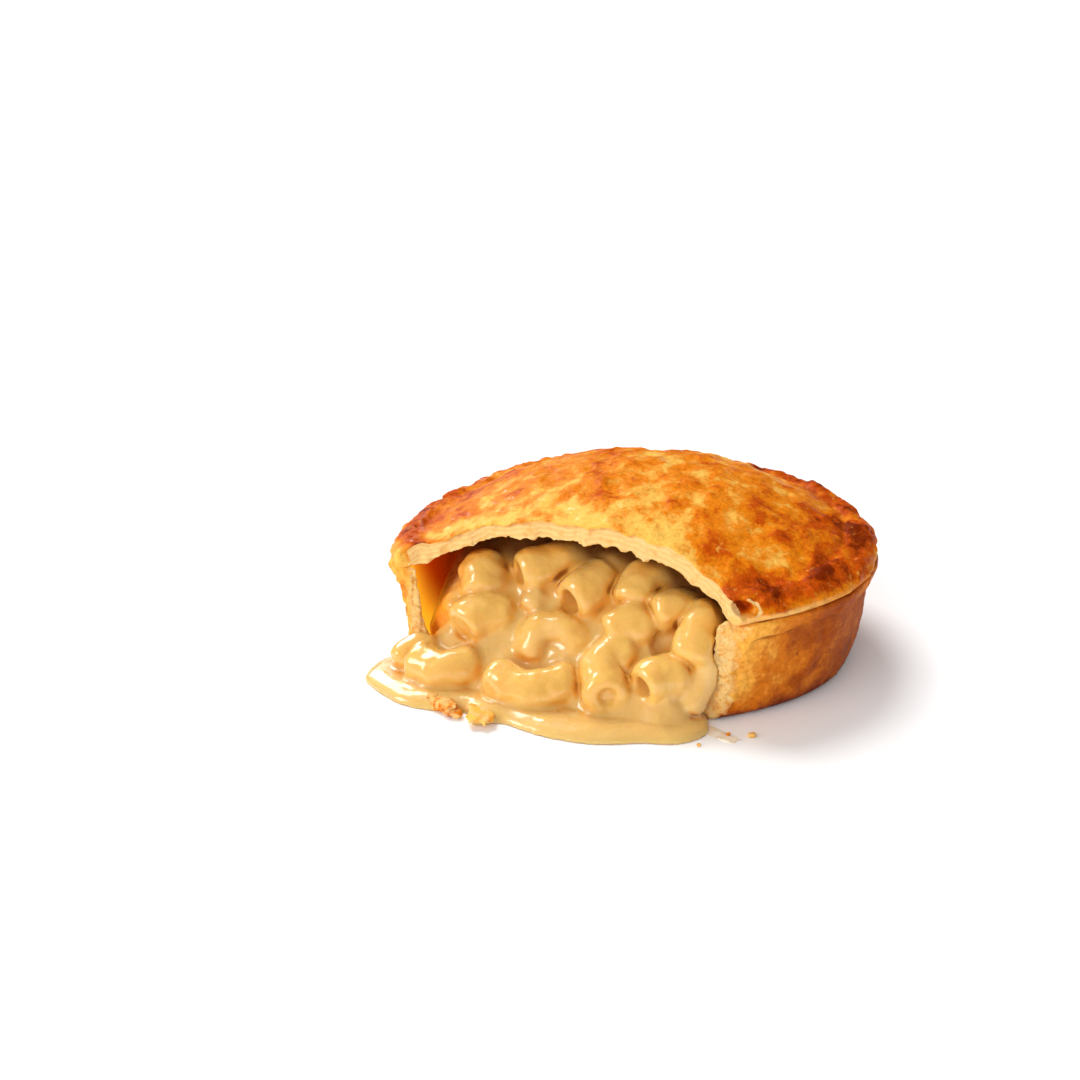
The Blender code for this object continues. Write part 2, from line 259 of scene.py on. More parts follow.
def spread(x, y):
    # how far the cut pie has opened or closed at this side: 1 + the sum of share (1 + cos) / 2 bumps
    angle = np.degrees(np.arctan2(y, x))
    total = np.ones_like(angle)
    for centre, width, share in pie["swellings"]:
        away = np.abs((angle - centre + 180) % 360 - 180)
        total += share * (0.5 + 0.5 * np.cos(np.pi * np.minimum(away / width, 1)))
    return total


def domeTop(radius):
    # height falls from the middle by rise (r / R)^2.15
    return pie["domeHeight"] - pie["domeRise"] * (np.abs(radius) / pie["domeRadius"]) ** 2.15


def outlineDistance(a, b, outline):
    # Distance from straight pieces between corners, negative inside: a spot is inside where a line from it
    # along a crosses an odd number of them.
    nearest = np.full(a.shape, 1e9)
    odd = np.zeros(a.shape, bool)
    for (a0, b0), (a1, b1) in zip(outline, outline[1:]):
        alongA, alongB = a1 - a0, b1 - b0
        t = np.clip(((a - a0) * alongA + (b - b0) * alongB) / (alongA**2 + alongB**2), 0, 1)
        nearest = np.minimum(nearest, np.hypot(a - a0 - t * alongA, b - b0 - t * alongB))
        if b0 != b1:
            odd ^= ((b0 > b) != (b1 > b)) & (a < a0 + alongA * (b - b0) / alongB)
    return np.where(odd, -nearest, nearest)


def sectionDistance(outline, blur=0.3):
    # Distance in mm from a turned section, negative inside. outline runs (radius, height) from the axis and
    # back to it, the table is on small squares and softened by blur, and the answer is read between squares.
    step, lowest, reach = 0.1, -4, 8
    r, z = np.meshgrid(np.arange(0, 60, step), np.arange(lowest, 48, step), indexing="ij")
    table = outlineDistance(r, z, outline)
    weights = np.exp(-0.5 * (np.arange(-reach, reach + 1) * step / blur) ** 2)
    weights /= weights.sum()
    for axis in (0, 1):
        padded = np.pad(table, [(reach, reach) if k == axis else (0, 0) for k in (0, 1)], mode="edge")
        size = table.shape[axis]
        table = sum(w * padded.take(np.arange(k, k + size), axis) for k, w in enumerate(weights))

    def distance(radius, height):
        a = np.clip(radius / step, 0, table.shape[0] - 1.001)
        b = np.clip((height - lowest) / step, 0, table.shape[1] - 1.001)
        i, j = a.astype(int), b.astype(int)
        a, b = a - i, b - j
        near = table[i, j] * (1 - b) + table[i, j + 1] * b
        far = table[i + 1, j] * (1 - b) + table[i + 1, j + 1] * b
        return near * (1 - a) + far * a

    return distance


def lidOutline():
    # the lid's section: dome, crease, rim, steep side, lip on the case, and underside
    radii = np.linspace(0, pie["domeRadius"], 25)
    dome = [(r, domeTop(r)) for r in radii]
    rim = [(46.6, 29.0), (48.2, 29.2), (50.2, 28.9), (51.9, 28.1), (53.2, 26.9), (53.8, 25.6), (53.9, 24.8)]
    lip = [(53.7, 24.3), (52.6, pie["seamHeight"] - 0.1), (47.6, pie["seamHeight"] + pie["gap"])]
    return dome + rim + lip + [(r, z - pie["lidThickness"]) for r, z in reversed(dome)]


def caseInside():
    # the inside of the case from the middle of its floor to its rim
    floor = pie["floorThickness"]
    return [(0, floor), (44.0, floor), (46.0, floor + 1.4), (47.4, 12.0), (48.6, pie["seamHeight"])]


def caseOutline():
    # the case's section: floor, inner wall, rim, a thin crest round the lid's edge, leaning wall and foot
    crest = [(52.8, pie["seamHeight"]), (53.6, 24.2), (54.1, 24.0), (54.3, 23.2), (53.7, 22.0), (53.0, 20.3)]
    wall = [(52.2, 19.4), (51.9, 15.0), (51.0, 9.0), (50.1, 4.0), (49.3, 1.4), (47.8, 0.0), (0, 0)]
    return caseInside() + crest + wall


# Finishes


def linear(red, green, blue):
    # a colour as it is picked on a screen, 0 to 255, turned into the linear one that shaders take
    values = [c / 255 for c in (red, green, blue)]
    return tuple(c / 12.92 if c <= 0.04045 else ((c + 0.055) / 1.055) ** 2.4 for c in values) + (1.0,)


def addNode(tree, kind, inputs=None, **settings):
    # a shader node: an input that is given another node's output is wired to it, and anything else is its
    # value, where a colour of three parts is one as picked on a screen
    made = tree.nodes.new("ShaderNode" + kind)
    for name, value in settings.items():
        setattr(made, name, value)
    for name, value in (inputs or {}).items():
        socket = made.inputs[name]
        if isinstance(value, bpy.types.NodeSocket):
            tree.links.new(value, socket)
        else:
            picked = socket.type == "RGBA" and len(value) == 3
            socket.default_value = linear(*value) if picked else value
    return made


def mixed(tree, share, first, second, blend="MIX"):
    # a colour between two, or one laid on the other
    inputs = {0: share, 6: first, 7: second}
    return addNode(tree, "Mix", inputs, data_type="RGBA", blend_type=blend).outputs[2]


def worked(tree, operation, first, second, clamp=False):
    # one sum on two numbers
    return addNode(tree, "Math", {0: first, 1: second}, operation=operation, use_clamp=clamp).outputs[0]


def plus(tree, first, second, clamp=False):
    return worked(tree, "ADD", first, second, clamp)


def minus(tree, first, second):
    return worked(tree, "SUBTRACT", first, second)


def times(tree, first, second, clamp=False):
    return worked(tree, "MULTIPLY", first, second, clamp)


def stretched(tree, value, low, high, newLow=0.0, newHigh=1.0):
    # low to high become newLow to newHigh, smoothly and not beyond
    inputs = {"Value": value, "From Min": low, "From Max": high, "To Min": newLow, "To Max": newHigh}
    return addNode(tree, "MapRange", inputs, interpolation_type="SMOOTHSTEP").outputs["Result"]


def noised(tree, place, size, detail=3.0, roughness=0.55, distortion=0.0):
    # a noise whose patches are about size mm across
    inputs = {"Vector": place, "Scale": 1000 / size, "Detail": detail, "Roughness": roughness}
    return addNode(tree, "TexNoise", inputs | {"Distortion": distortion}).outputs["Fac"]


def attributeOf(tree, title):
    # the piece's own float attribute
    return addNode(tree, "Attribute", attribute_name=title).outputs["Fac"]


def raggedMask(tree, title, noise, depth, low, high):
    # an attribute from low to high as 0 to 1, its edge broken up by a noise times depth
    shifted = times(tree, minus(tree, noise, 0.5), depth)
    return stretched(tree, plus(tree, attributeOf(tree, title), shifted), low, high)


def makeGroup(name, inputs, outputs):
    # an empty node group with named sockets of these kinds, and its two ends
    group = bpy.data.node_groups.new(name, "ShaderNodeTree")
    for titles, way in ((inputs, "INPUT"), (outputs, "OUTPUT")):
        for title, kind in titles.items():
            group.interface.new_socket(title, in_out=way, socket_type="NodeSocket" + kind)
    return group, group.nodes.new("NodeGroupInput").outputs, group.nodes.new("NodeGroupOutput").inputs


def patched(tree, kind, place, size, fineness, values):
    # a texture node whose patches are size mm, from a socket, divided by fineness
    scale = worked(tree, "DIVIDE", 1000.0 * fineness, size)
    return addNode(tree, kind, {"Vector": place, "Scale": scale} | values)


def ovenColourGroup():
    # pastry from raw to dark: four colours laid over each other as Baked rises, broken up by patches
    group, given, made = makeGroup("ovenColour", {
        "Position": "Vector", "Baked": "Float", "Patch mm": "Float", "Mottling": "Float", "Pale": "Color",
        "Golden": "Color", "Brown": "Color", "Dark": "Color"}, {"Colour": "Color"})
    place, patch = given["Position"], given["Patch mm"]
    wide = {"Detail": 4.0, "Roughness": 0.56, "Distortion": 0.35}
    wide = patched(group, "TexNoise", place, patch, 1.0, wide)
    fine = patched(group, "TexNoise", place, patch, 4.2, {"Detail": 5.0, "Roughness": 0.7})
    uneven = plus(group, times(group, wide.outputs["Fac"], 0.68), times(group, fine.outputs["Fac"], 0.32))
    uneven = times(group, minus(group, uneven, 0.5), given["Mottling"])
    depth = plus(group, given["Baked"], times(group, uneven, 4.0), clamp=True)
    colour = mixed(group, stretched(group, depth, 0.05, 0.42), given["Pale"], given["Golden"])
    colour = mixed(group, stretched(group, depth, 0.40, 0.74), colour, given["Brown"])
    colour = mixed(group, stretched(group, depth, 0.72, 1.0), colour, given["Dark"])
    group.links.new(colour, made["Colour"])
    return group


def crumbGrainGroup():
    # the fine grain of baked dough: a height and a tone, each from -0.5 to 0.5
    group, given, made = makeGroup(
        "crumbGrain", {"Position": "Vector", "Grain mm": "Float"}, {"Height": "Float", "Tone": "Float"})
    place, size = given["Position"], given["Grain mm"]
    grain = patched(group, "TexNoise", place, size, 1.0, {"Detail": 4.0, "Roughness": 0.65})
    pits = patched(group, "TexVoronoi", place, size, 0.42, {"Randomness": 1.0})
    hollow = stretched(group, pits.outputs["Distance"], 0.05, 0.35, -0.25, 0.0)
    centred = minus(group, grain.outputs["Fac"], 0.5)
    group.links.new(plus(group, centred, hollow), made["Height"])
    group.links.new(centred, made["Tone"])
    return group


def speckGroup():
    # scattered small specks: 1 in the middle of each, 0 between them
    group, given, made = makeGroup(
        "specks", {"Position": "Vector", "Spacing mm": "Float", "Size": "Float"}, {"Mask": "Float"})
    cells = patched(group, "TexVoronoi", given["Position"], given["Spacing mm"], 1.0, {"Randomness": 1.0})
    edge = minus(group, given["Size"], cells.outputs["Distance"])
    group.links.new(stretched(group, edge, 0.0, 0.06), made["Mask"])
    return group


ovenColour, crumbGrain, specks = ovenColourGroup(), crumbGrainGroup(), speckGroup()


def startMaterial(name, values):
    # a Principled finish with these plain values, its node tree and its object coordinates
    material = bpy.data.materials.new(name)
    material.use_nodes = True
    tree = material.node_tree
    shader = tree.nodes["Principled BSDF"]
    for title, value in values.items():
        shader.inputs[title].default_value = value
    place = addNode(tree, "TexCoord").outputs["Object"]
    return material, tree, shader, place


def fed(tree, shader, height, distance, outputs):
    # wires outputs to the shader's own sockets, with a bump of a height, distance in mm
    bump = addNode(tree, "Bump", {"Height": height, "Distance": distance * 0.001})
    for name, value in ({"Normal": bump.outputs["Normal"]} | outputs).items():
        tree.links.new(value, shader.inputs[name])


def ovenBaked(tree, drawn, place, look):
    # pastry crust with its fine grain: its colour, and the height of the grain
    inputs = {title.capitalize(): look[title] for title in ("mottling", "pale", "golden", "brown", "dark")}
    inputs |= {"Position": drawn, "Baked": attributeOf(tree, "baked"), "Patch mm": look["patch"]}
    oven = addNode(tree, "Group", inputs, node_tree=ovenColour)
    grain = addNode(tree, "Group", {"Position": place, "Grain mm": look["grain"]}, node_tree=crumbGrain)
    tone = mixed(tree, stretched(tree, grain.outputs["Tone"], -0.25, 0.25), *look["grainTones"])
    return mixed(tree, 1.0, oven.outputs["Colour"], tone, "MULTIPLY"), grain.outputs["Height"]


def speckled(tree, place, colour, spacing, size, share, specked):
    # a colour with small specks on it
    inputs = {"Position": place, "Spacing mm": spacing, "Size": size}
    dots = addNode(tree, "Group", inputs, node_tree=specks).outputs["Mask"]
    return mixed(tree, times(tree, dots, share), colour, specked)


# Pastry lid

lid = {
    "cutY": -27.3,
    "scoop": 8.5,
    "cutMiddleX": -3.0,
    "cutHalfWidth": 42.0,
    "cutForward": 3.2,  # how much further front the cut runs at the right
    "cutWaves": [(0.3, 2.3, 0), (0.15, 1.1, 1)],  # height, length over 2 pi, phase
    # unevenness as (size, height, seed)
    "blisters": [(13, 0.75, 3.1), (6.0, 0.50, 7.7), (2.8, 0.30, 2.4), (1.3, 0.12, 6.2)],
    "rimBulges": [(7.5, 0.8, 1.3), (2.6, 0.45, 4.4), (1.2, 0.16, 9.2)],
    "underside": [(6, 0.35, 4.1)],
    "undersideAtCut": [(2.0, 0.5, 6.3), (0.9, 0.45, 1.9)],
    "tornLayer": [(3.4, 1.1, 2.2), (1.3, 0.5, 5.1)],
    "brownPatches": [(14, 0.10, 6.6), (6, 0.14, 9.1)],
    "thinnerLeft": 1.0,
    "upperLayer": 0.8,  # how deep the yellow layer goes that peels from the cut
    "layerPitch": 1.2,
    "creaseRadius": 46.2,
    "creaseDepth": 0.45,
    "pocket": (35.7, -35.6, 27.2),  # middle of the opening between two layers at the right end of the cut
    "pocketSize": (2.9, 3.2, 1.6),
    # browner and paler places as (x, y, width, how much)
    "bakedPlaces": [
        (-44, -10, 5, 0.22), (-42, -1, 5, 0.18), (-41, -20, 4, 0.10), (-37, 4, 6, 0.10), (45, 10, 11, 0.28),
        (37, -25, 5, 0.34), (46, -10, 8, 0.26), (27, -25, 3.5, 0.15), (18, -13, 6, 0.06), (33, 35, 8, 0.18),
        (39, -17, 5, -0.16), (4, -14, 6, -0.12),
    ],
    "spacing": 0.5,
    "cutSpacing": 0.36,
    "depthSpacing": 0.26,
    "patch": 6.5,
    "mottling": 0.56,
    "grain": 0.7,
    "grainHeight": 0.24,
    "grainTones": [(0.82, 0.82, 0.82, 1.0), (1.14, 1.14, 1.14, 1.0)],
    "pale": (248, 190, 84),
    "golden": (230, 128, 12),
    "brown": (194, 76, 2),
    "dark": (124, 38, 0),
    "flake": (250, 190, 84),
    "layers": [(240, 192, 118), (248, 208, 140)],
    "layerSpots": (232, 168, 84),
    "under": (176, 84, 10),
    "lip": (248, 190, 108),
    "crack": (160, 78, 12),
}


def lidMaterial():
    # egg-washed pastry outside, pale layers on the cut, a cream lip at the seam, and sauce under it
    material, tree, shader, place = startMaterial("egg washed pastry", {
        "Specular IOR Level": 0.04, "Coat Roughness": 0.09, "Coat IOR": 1.45, "Subsurface Weight": 0.05,
        "Subsurface Radius": (0.0015, 0.0006, 0.0002), "Subsurface Scale": 1.0})
    drawn = addNode(tree, "Mapping", {"Vector": place, "Scale": (1.0, 0.72, 1.0)}).outputs["Vector"]
    crust, grain = ovenBaked(tree, drawn, place, lid)
    flakes = stretched(tree, noised(tree, drawn, 1.9, 4.0, 0.6), 0.60, 0.74, 0.0, 0.5)
    crust = mixed(tree, flakes, crust, lid["flake"])
    spots = stretched(tree, noised(tree, place, 1.6, 4.0), 0.52, 0.72, 0.0, 0.7)
    layers = mixed(tree, spots, mixed(tree, attributeOf(tree, "layer"), *lid["layers"]), lid["layerSpots"])
    torn = raggedMask(tree, "cut", noised(tree, place, 1.8, 3.0), 1.6, 0.35, 0.65)
    colour = mixed(tree, torn, crust, layers)
    for title in ("under", "lip", "crack"):
        colour = mixed(tree, attributeOf(tree, title), colour, lid[title])
    rough = stretched(tree, noised(tree, place, 1.5, 4.0), 0.3, 0.7, 0.34, 0.6)
    rough = plus(tree, rough, times(tree, attributeOf(tree, "cut"), 0.2), clamp=True)
    wash = stretched(tree, noised(tree, place, 2.4, 4.0), 0.56, 0.66, 0.0, 0.24)
    wash = times(tree, wash, minus(tree, 1.0, attributeOf(tree, "cut")), clamp=True)
    fed(tree, shader, grain, lid["grainHeight"], {
        "Base Color": colour, "Roughness": rough, "Coat Weight": wash})
    return material


def lidCut(x):
    # the cut across the lid: forward by a cube of the distance from its middle and once more at the right,
    # in small waves
    away = np.abs(x - lid["cutMiddleX"]) / lid["cutHalfWidth"]
    waves = sum(height * np.sin(x / length + phase) for height, length, phase in lid["cutWaves"])
    return lid["cutY"] - lid["scoop"] * away**3 - lid["cutForward"] * ramp(x, 28, 34) + waves


def bakedShare(x, y, radius):
    # How brown the lid is: browner on the rim's crest and in a few wide places, palest behind the cut.
    baked = 0.39 + unevenness(x, y, 0, lid["brownPatches"])
    baked += 0.24 * np.exp(-(((radius - 50.3) / 2.8) ** 2)) * (0.8 + 0.8 * gridNoise(x, y, 0, 7, 3.9))
    baked += 0.12 * ramp(radius, 34, 47) * ramp(x, -42, -20)
    behind = y - lidCut(x)
    baked -= 0.36 * np.exp(-((behind / 7.5) ** 2)) * ramp(x, -44, -26) * (1 - ramp(x, 14, 34))
    for placeX, placeY, width, share in lid["bakedPlaces"]:
        baked += share * np.exp(-((x - placeX) ** 2 + (y - placeY) ** 2) / width**2)
    return np.clip(baked, 0, 1)


def creaseLine(x, y, ring):
    # the crease inside the rim, 1 on a wandering circle and 0 off it, deepest at the right and behind
    wander = lid["creaseRadius"] + 0.9 * gridNoise(x, y, 0, 9, 1.8)
    side = (0.2 + 0.8 * ramp(x, -12, 18)) * ramp(y, -22, 12)
    return side * np.exp(-(((ring - wander) / 0.6) ** 2)) * ramp(gridNoise(x, y, 0, 12, 2.9), -0.6, 0.2)


def lidLift(x, y, ring):
    # how far blisters, wrinkles and the crease raise the lid's top
    lift = unevenness(x, y, 0, lid["blisters"])
    lift += 0.55 * ramp(gridNoise(x, y, 0, 4.2, 8.2), 0.15, 0.7)
    wrinkle = 1 - np.abs(gridNoise(x, y * 1.6, 0, 3.4, 5.5)) * 4
    lift += 0.16 * np.clip(wrinkle, 0, 1) - lid["creaseDepth"] * creaseLine(x, y, ring)
    return lift * (1 - 0.7 * ramp(ring, 51, 53))


def layerWave(depth, spots):
    # the layers by their depth below the lid's top, -1 to 1, a little out of step from place to place
    return np.sin(2 * np.pi * depth / lid["layerPitch"] + 3 * softNoise(spots, 4.5, 1.1))


def makeLid():
    # The lid's section, turned, is the base. Grid heights are measured from the dome, so that thin layers
    # lie along the grid. Blisters shift the top, a wave by depth makes the layers of the cut, and the cut is
    # the smooth higher of the two distances.
    wide, fine, thin = lid["spacing"], lid["cutSpacing"], lid["depthSpacing"]
    x = axisStops([(-55.6, wide), (55.6, wide)])[:, None, None]
    y = axisStops([(-38.5, fine), (-22, fine), (-14, wide), (56.0, wide)])[None, :, None]
    level = axisStops([(-7.0, thin), (5.6, thin)])[None, None, :]
    x, y, level = np.broadcast_arrays(x, y, level)
    share = spread(x[:, :, 0], y[:, :, 0])[:, :, None]
    radius = np.hypot(x, y) / share
    z = level + domeTop(radius)

    flatX, flatY, ring = x[:, :, 0], y[:, :, 0], radius[:, :, 0]
    lift = lidLift(flatX, flatY, ring)
    behind = flatY - lidCut(flatX)
    sag = unevenness(flatX, flatY, 0, lid["underside"])
    sag += ramp(behind, 4, 0) * unevenness(flatX, flatY, 0, lid["undersideAtCut"])
    sag += lid["thinnerLeft"] * ramp(-flatX, 8, 24) * ramp(behind, 9, 2)
    sag *= 1 - ramp(ring, 44, 47)

    crest = [(45.4, 29.4), (46.6, 29.0), (48.2, 29.2), (50, 28.9), (51.6, 28.2), (52.9, 27), (54.5, 25)]
    crestZ = np.interp(ring, *zip(*crest))
    topHeight = np.where(ring < pie["domeRadius"], domeTop(ring), crestZ) + lift
    depth = topHeight[:, :, None] - z
    lower = ramp(depth, 1.2, 4.0)
    section = sectionDistance(lidOutline())
    body = section(radius, z - lift[:, :, None] * (1 - lower) - sag[:, :, None] * lower) * share

    near = (np.abs(body) < 1.8) & (radius > 45.5)
    spots = np.stack([x[near], y[near], z[near]], 1)
    bulge = unevenness(*spots.T, lid["rimBulges"]) + 0.22 * softNoise(spots * (1, 1, 3.0), 1.6, 8.8)
    bulge -= 0.5 * ramp(softNoise(spots * (0.5, 0.5, 2.2), 2.2, 3.6), 0.2, 0.6)
    body[near] -= bulge * ramp(radius[near], 46, 50) * ramp(z[near], 24.0, 25.2)

    cut = lidCut(x) - y
    close = (np.abs(cut) < 3.2) & (body < 1.5)
    spots = np.stack([x[close], y[close], z[close]], 1)
    deep = depth[close]
    skinned = ramp(x[close], -40, -34) * (1 - 0.8 * ramp(x[close], 6, 16))
    upper = ramp(deep, lid["upperLayer"], lid["upperLayer"] - 0.3) * skinned
    ragged = 0.45 + unevenness(*(spots * (1, 0.2, 0.2)).T, lid["tornLayer"])
    groove = np.exp(-(((deep - lid["upperLayer"] - 0.2) / 0.28) ** 2)) * (0.3 + 0.7 * skinned)
    out = upper * ragged - 0.7 * groove + 0.06 * layerWave(deep, spots) + 0.45 * softNoise(spots, 1.7, 7.3)
    out += 0.6 * ramp(deep, 3.4, 4.6) * (0.5 + 1.2 * softNoise(spots * (1, 0.3, 0.3), 2.0, 3.3))
    cut[close] -= out
    field = smoothMax(body, cut, 0.5)
    away = [(axis - at) / size for axis, at, size in zip((x, y, z), lid["pocket"], lid["pocketSize"])]
    away[2] = away[2] + 0.35 * away[0]
    pocket = (np.sqrt(sum(part**2 for part in away)) - 1) * min(lid["pocketSize"])
    field = smoothMax(field, -pocket, 0.3)

    points, faces = surfaceNet(field, [x, y, z, cut - body, np.broadcast_to(depth, z.shape), pocket])
    points, faces = largestShell(points, faces)
    points[:, :3] = relax(points[:, :3], faces, 1, 0.4)
    px, py, pz, onCut, deep, opened = points.T
    ring = np.hypot(px, py) / spread(px, py)
    isCut = ramp(onCut, -0.3, 0.25) * ramp(deep, 0.2, 0.75)
    isCut *= 1 - 0.85 * ramp(ring, 49.5, 52) * (px < 0)
    stained = ramp(deep, 3.4, 4.2) * (1 - ramp(onCut, -1.2, -0.2)) * (ring < 50)
    baked = bakedShare(px, py, ring) + 0.13 * np.clip(lidLift(px, py, ring), -1, 1)
    baked *= 1 - 0.3 * ramp(pz, 27.6, 25.8) * (ring > 50)
    baked -= 0.35 * ramp(onCut, -4.0, 0) * ramp(ring, 49, 51.5) * (px < 0)
    lip = 0.15 + 0.75 * ramp(px, 12, 30) * (1 - ramp(py, -28, -10))
    lip *= ramp(pz, 25.9, 25.2) * (ring > 50.5)
    crack = 0.35 * creaseLine(px, py, ring) * (1 - ramp(deep, 0.6, 1.4))
    crack = np.maximum(crack, 0.8 * ramp(pz, 24.4, 24.1) * (ring > 51.5) * ramp(-onCut, 1.0, 5.0))
    inPocket = ramp(opened, 0.3, 0.0)
    # inside the pocket, browner further in: painted shade
    baked = baked * (1 - inPocket) + (0.3 + 0.5 * ramp(ring, 52.4, 50.4)) * inPocket
    isCut = np.maximum(isCut, 0.7 * np.exp(-(((opened - 0.5) / 0.35) ** 2)) * (ring > 51.5))
    return addPiece(
        "bakedLid", points, faces, lidMaterial(), ["pastry_lid"], "baked_pastry",
        baked=np.clip(baked, 0, 1), cut=isCut, layer=0.5 + 0.5 * layerWave(deep, points[:, :3]),
        under=stained, lip=lip, crack=crack,
    )


# Pastry case

case = {
    # unevenness as (size, height, seed)
    "relief": [(11, 0.5, 5.2), (5, 0.3, 9.4), (2.1, 0.2, 3.1), (1.1, 0.08, 6.6)],
    "footRelief": [(2.0, 0.4, 2.7), (1.0, 0.25, 5.8)],
    "tornRelief": [(2.6, 0.7, 8.1), (1.3, 0.4, 1.5)],
    "cutRelief": [(2.6, 0.7, 4.9), (1.3, 0.6, 8.3)],
    "bakedPatches": [(12, 0.12, 3.4), (5, 0.16, 1.7)],
    "pits": 0.35,
    "seamLine": 19.8,  # height of the line that runs round under the rim
    "seamDepth": 0.5,
    "beads": 0.45,
    "thinner": 1.2,  # how much thinner the wall is at the left of the cut
    "columns": 720,
    "spacing": 0.42,
    "patch": 5.0,
    "mottling": 0.30,
    "grain": 1.3,
    "grainHeight": 0.6,
    "grainTones": [(0.88, 0.70, 0.45, 1.0), (1.17, 1.14, 1.1, 1.0)],
    "pale": (247, 182, 78),
    "golden": (214, 122, 22),
    "brown": (170, 82, 12),
    "dark": (114, 42, 2),
    "specks": (110, 44, 8),
    "layers": [(255, 220, 156), (250, 188, 96)],
    "layerSpots": (240, 164, 62),
    "glazeAndShade": [(255, 186, 50), (206, 78, 0)],  # the glaze near the cut, and painted shade deep inside
    # painted glow, by emission: orange near the cut, darker deep inside
    "glow": [(255, 176, 34), (180, 48, 0)],
    "crack": (140, 62, 8),
}


def caseMaterial():
    # drier pastry: golden tan outside, pale on the cut, and glazed inside, with painted shade deeper in and
    # a painted glow, by emission, on the inside wall near the cut
    material, tree, shader, place = startMaterial("case pastry", {
        "Specular IOR Level": 0.12, "Emission Strength": 0.95, "Subsurface Weight": 0.2,
        "Subsurface Radius": (0.003, 0.0013, 0.0003), "Subsurface Scale": 1.0})
    crust, grain = ovenBaked(tree, place, place, case)
    crust = speckled(tree, place, crust, 5.5, 0.11, 0.6, case["specks"])
    spots = stretched(tree, noised(tree, place, 0.9, 4.0), 0.48, 0.66, 0.0, 0.8)
    layers = mixed(tree, noised(tree, place, 2.0, 4.0), *case["layers"])
    layers = mixed(tree, spots, layers, case["layerSpots"])
    torn = raggedMask(tree, "cut", noised(tree, place, 1.4, 5.0, 0.65), 2.1, 0.28, 1.0)
    colour = mixed(tree, torn, crust, layers)
    inner, deep = attributeOf(tree, "inner"), attributeOf(tree, "deep")
    # the glaze on the inside wall, darkened further in by painted shade
    colour = mixed(tree, inner, colour, mixed(tree, deep, *case["glazeAndShade"]))
    colour = mixed(tree, attributeOf(tree, "crack"), colour, case["crack"])
    # painted glow: emission on the inside wall at the left near the cut
    glow = mixed(tree, attributeOf(tree, "glow"), (0, 0, 0), mixed(tree, deep, *case["glow"]))
    rough = minus(tree, 0.62, times(tree, inner, 0.36))
    coarse = times(tree, grain, plus(tree, 1.0, attributeOf(tree, "cut")))
    fed(tree, shader, coarse, case["grainHeight"], {
        "Base Color": colour, "Roughness": rough, "Emission Color": glow})
    return material


def caseCut(x):
    # the straight cut through the case, in slow waves
    return pie["caseCutY"] + 0.4 * np.sin(x / 3.7)


def seamHeight(x, y):
    # the height of the line under the rim, which wanders round the wall
    return case["seamLine"] + 0.5 * gridNoise(x, y, 0, 9, 2.6)


